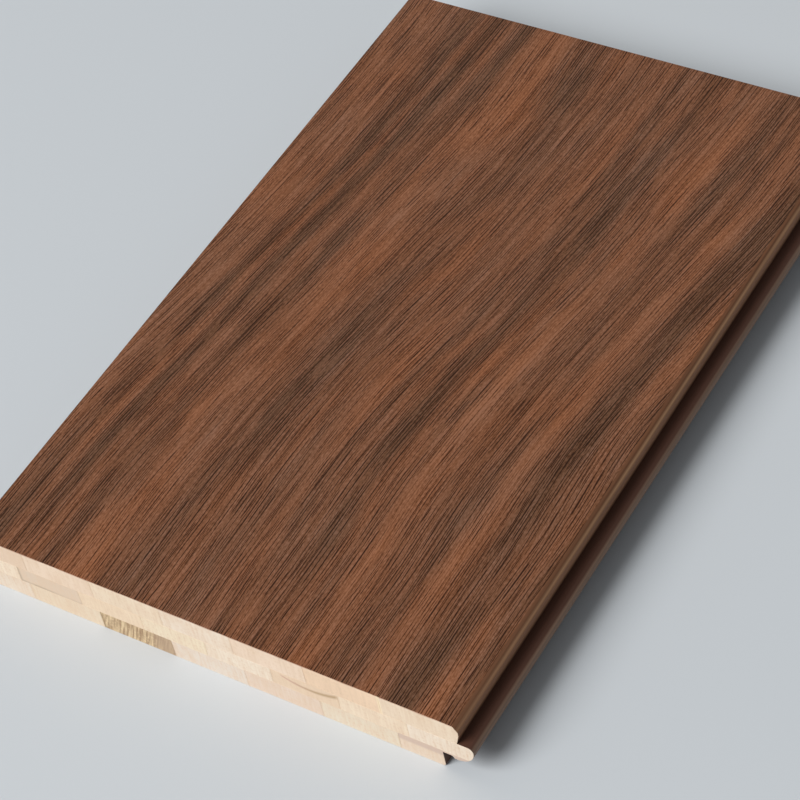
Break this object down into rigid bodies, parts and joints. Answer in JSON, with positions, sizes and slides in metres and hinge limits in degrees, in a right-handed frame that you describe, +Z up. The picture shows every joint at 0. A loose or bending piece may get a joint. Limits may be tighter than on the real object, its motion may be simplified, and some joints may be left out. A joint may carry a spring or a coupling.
{
  "type": "bamboo floorboard",
  "caption": "Short length of laminated bamboo floorboard with a dark satin face, bevelled long edges, and a click-lock tongue and groove that join boards side by side.",
  "frame": {"origin": "middle of the underside, half way between the groove's lip and the tongue's nose", "axes": "+X across the board towards the tongue, +Y along the board, +Z up from the underside to the face"},
  "size_m": [0.1378, 0.2, 0.017],
  "materials": {
    "walnut_lacquered_bamboo": "satin walnut-figured lacquer on the face, dark stain on the milled edge, raw at the sawn ends",
    "pale_bamboo": "raw pressed bamboo, fine sawn ends",
    "grey_bamboo": "raw pressed bamboo, slightly grey, fine sawn ends",
    "caramel_bamboo": "raw steamed bamboo, caramel brown, fine sawn ends"
  },
  "bodies": {
    "root": {"upper_strip_1": "walnut_lacquered_bamboo", "upper_strip_2": "walnut_lacquered_bamboo", "upper_strip_3": "walnut_lacquered_bamboo", "upper_strip_4": "walnut_lacquered_bamboo", "upper_strip_5": "walnut_lacquered_bamboo", "upper_strip_6": "walnut_lacquered_bamboo", "upper_strip_7": "walnut_lacquered_bamboo", "middle_strip_1": "pale_bamboo", "middle_strip_2": "grey_bamboo", "middle_strip_3": "pale_bamboo", "middle_strip_4": "pale_bamboo", "middle_strip_5": "pale_bamboo", "middle_strip_6": "pale_bamboo", "middle_strip_7": "pale_bamboo", "middle_strip_8": "pale_bamboo", "lower_strip_1": "pale_bamboo", "lower_strip_2": "pale_bamboo", "lower_strip_3": "caramel_bamboo", "lower_strip_4": "pale_bamboo", "lower_strip_5": "pale_bamboo", "lower_strip_6": "pale_bamboo", "lower_strip_7": "pale_bamboo"}
  },
  "joints": []
}
